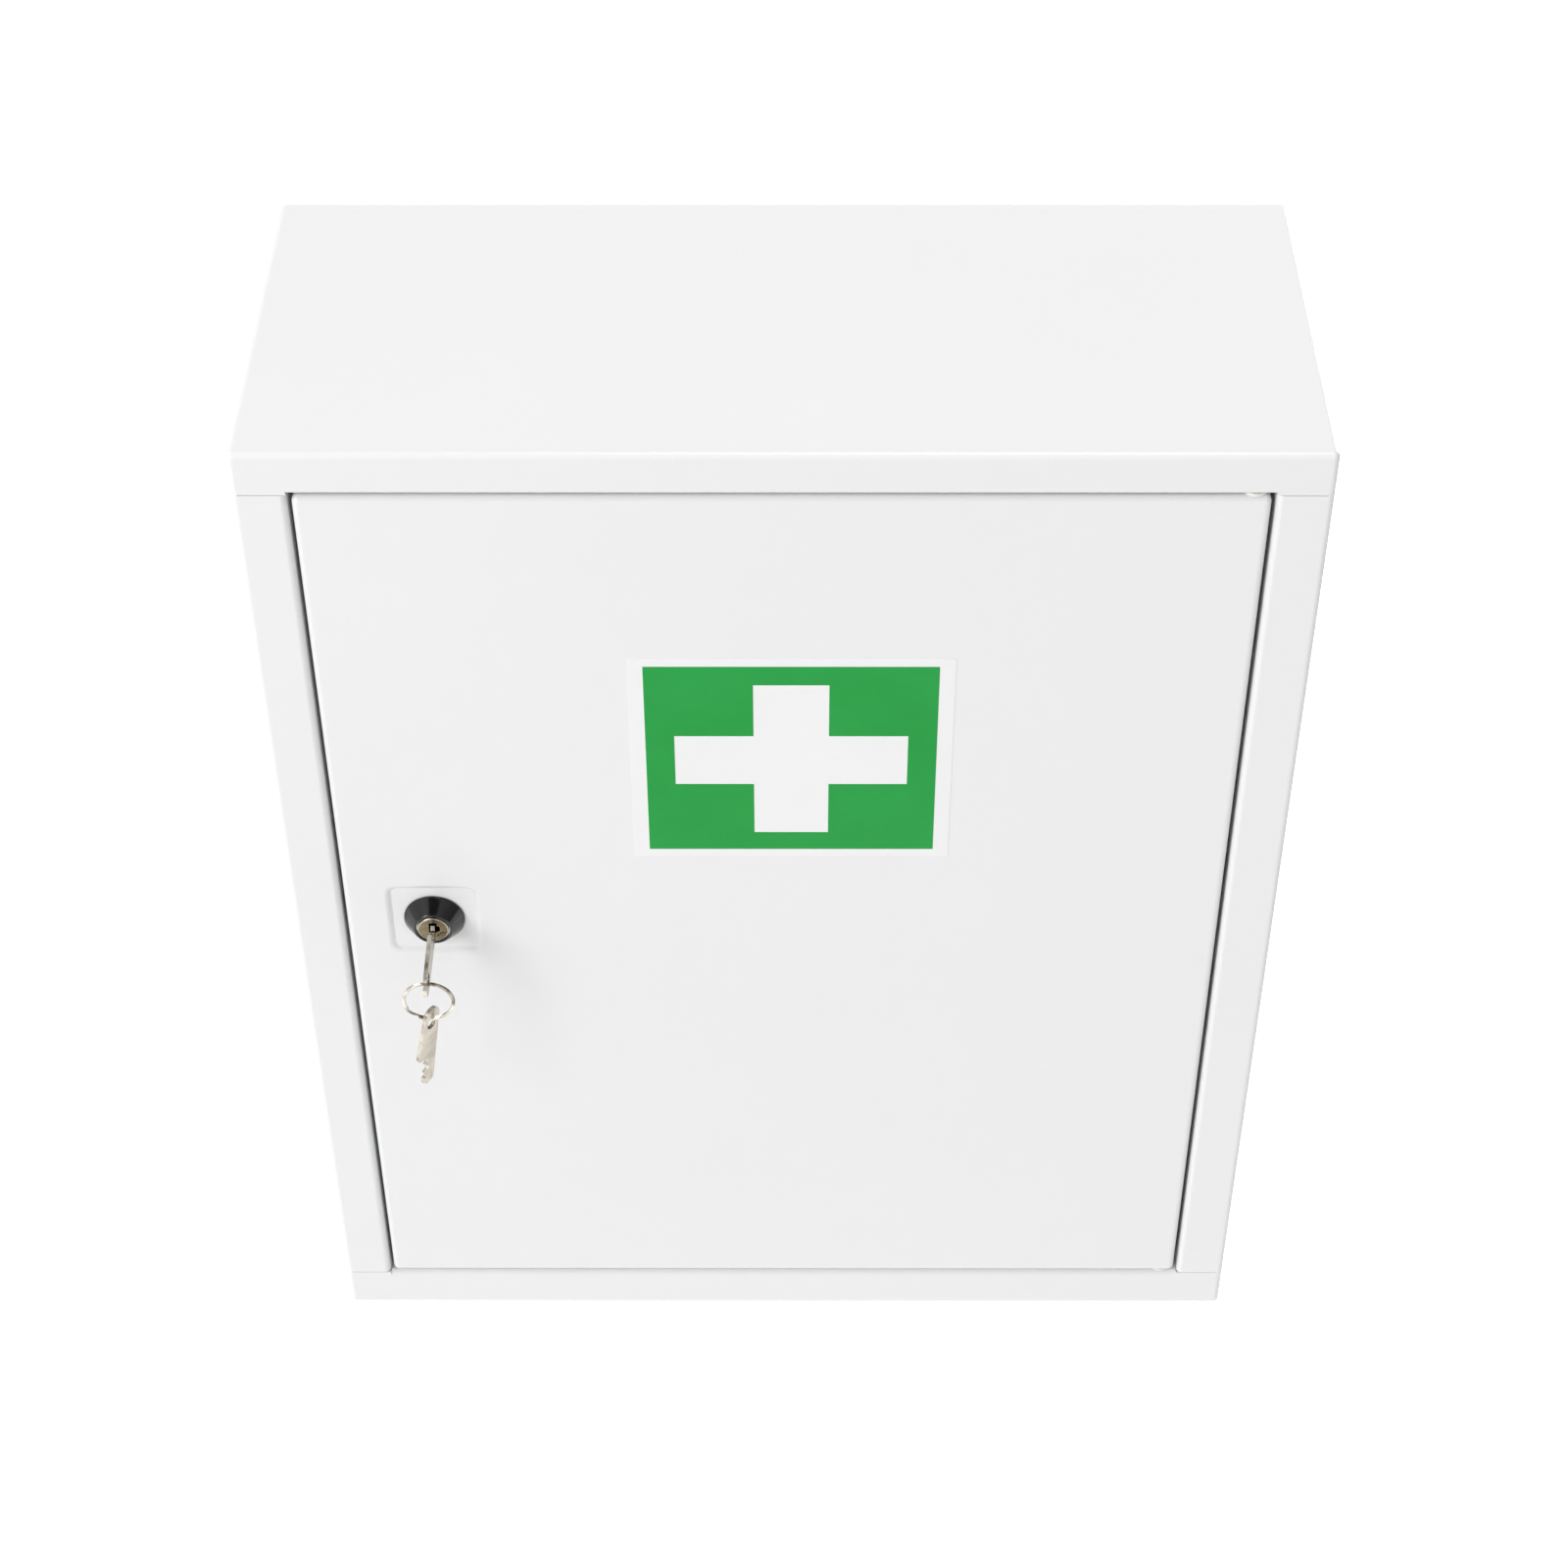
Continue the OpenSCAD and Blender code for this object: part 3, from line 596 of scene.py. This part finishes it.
key = flat_key()
spare = place(copy_of(key, "spare_on_ring"), ON_RING)
place(key, IN_LOCK)
finished(spare, "spare_key")
finished(key, "lock_key")
# Painted highlight on the spare key's edges, painted shade on the lock key's edges
paint_edge_light_and_shade(spare, ON_RING, spare_edge_painted_highlight)
paint_edge_light_and_shade(key, IN_LOCK, key_spine_painted_shade)
wire_ring()


# ---- Camera, light and floor ----

CAMERA_PLACE = (0.00357, -0.94233, 1.09740)
CAMERA_TILT = (47.5518, 0.0947, 0.1365)     # degrees about x, y and z
LENS, SENSOR_WIDTH = 72.044, 36             # mm

ROOM_LEVEL, ROOM_SWING = 0.49, 0.40         # the room's middle brightness, and its change across
BRIGHT_SIDE = (-0.80, -0.42, 0.42)
DARK_PLACE = (0.0, -0.40, 0.92)
DARK_RIM, DARK_CORE, DARK_LEVEL = 24, 13, 0.02      # degrees about its middle, and its brightness
BACKDROP_RIM = 0.4                          # cosine from which the backdrop is fully white

FLOOR_HEIGHT, FLOOR_SIZE = -0.7, 30
FLOOR_GLOW = 0.6                            # lifts the floor to white for the camera and mirrors


def set_camera():
    data = bpy.data.cameras.new("camera")
    data.lens = LENS
    data.sensor_width = SENSOR_WIDTH
    data.clip_start, data.clip_end = 0.01, 50
    camera = bpy.data.objects.new("camera", data)
    camera.location = CAMERA_PLACE
    camera.rotation_euler = [math.radians(angle) for angle in CAMERA_TILT]
    bpy.context.scene.collection.objects.link(camera)
    bpy.context.scene.camera = camera


def softbox(name, size, power, location, target):
    data = bpy.data.lights.new(name, "AREA")
    data.shape = "RECTANGLE"
    data.size, data.size_y = size
    data.energy = power
    lamp = bpy.data.objects.new(name, data)
    lamp.location = location
    lamp.rotation_euler = (Vector(target) - Vector(location)).to_track_quat("-Z", "Y").to_euler()
    bpy.context.scene.collection.objects.link(lamp)


def facing(tree, direction):
    """Cosine between the way a ray leaves the scene and the direction."""
    source = tree.nodes.new("ShaderNodeTexCoord")
    dot = tree.nodes.new("ShaderNodeVectorMath")
    dot.operation = "DOT_PRODUCT"
    dot.inputs[1].default_value = Vector(direction).normalized()
    tree.links.new(source.outputs["Generated"], dot.inputs[0])
    return dot.outputs["Value"]


def ray_kinds(tree):
    """Whether a ray comes straight from the camera, and whether metal or glass sent it on."""
    path = tree.nodes.new("ShaderNodeLightPath")
    sent_on = mixed(tree, "MAXIMUM", path.outputs["Is Glossy Ray"],
                    path.outputs["Is Transmission Ray"])
    return path.outputs["Is Camera Ray"], sent_on


def set_world():
    """A soft room, brighter on the left, with a dark place over the camera. Rays straight from
    the camera see plain white, and metal shows the white backdrop behind the cabinet."""
    world = bpy.data.worlds.new("studio")
    bpy.context.scene.world = world
    world.use_nodes = True
    tree = world.node_tree
    background = tree.nodes["Background"]
    background.inputs["Color"].default_value = (1, 1, 1, 1)
    room = ranged(tree, facing(tree, BRIGHT_SIDE), -1, 1,
                  ROOM_LEVEL - ROOM_SWING, ROOM_LEVEL + ROOM_SWING)
    shade = ranged(tree, facing(tree, DARK_PLACE), math.cos(math.radians(DARK_RIM)),
                   math.cos(math.radians(DARK_CORE)), 1.0, DARK_LEVEL, "SMOOTHSTEP")
    backdrop = ranged(tree, facing(tree, (0, 1, 0)), 0.0, BACKDROP_RIM, 0.0, 1.0, "SMOOTHSTEP")
    from_camera, sent_on = ray_kinds(tree)
    white = mixed(tree, "MAXIMUM", from_camera, mixed(tree, "MULTIPLY", sent_on, backdrop))
    tree.links.new(mixed(tree, "MAXIMUM", mixed(tree, "MULTIPLY", room, shade), white),
                   background.inputs["Strength"])


def set_floor():
    deselect_all()
    bpy.ops.mesh.primitive_plane_add(size=FLOOR_SIZE, location=(0, 0, FLOOR_HEIGHT))
    floor = bpy.context.object
    floor.name = "floor"
    settle(floor)
    finish, tree, shader = new_finish("pale floor", (0.93, 0.93, 0.93), roughness=0.9)
    shader.inputs["Specular IOR Level"].default_value = 0.0
    shader.inputs["Emission Color"].default_value = (1, 1, 1, 1)
    seen = mixed(tree, "MAXIMUM", *ray_kinds(tree))
    tree.links.new(ranged(tree, seen, 0, 1, 0.0, FLOOR_GLOW), shader.inputs["Emission Strength"])
    floor.data.materials.append(finish)


bpy.context.scene.view_settings.view_transform = "Standard"
set_camera()
set_world()
set_floor()
softbox("left softbox", (1.7, 2.2), 94.0, (-2.6, -2.97, 2.5), (0, -0.05, 0.25))
softbox("top softbox", (1.2, 0.8), 14.5, (0.2, 0.1, 2.6), (0, 0, 0.4))
softbox("back softbox", (1.6, 1.6), 55.0, (1.6, 2.9, 0.6), (0, 0.08, 0.25))
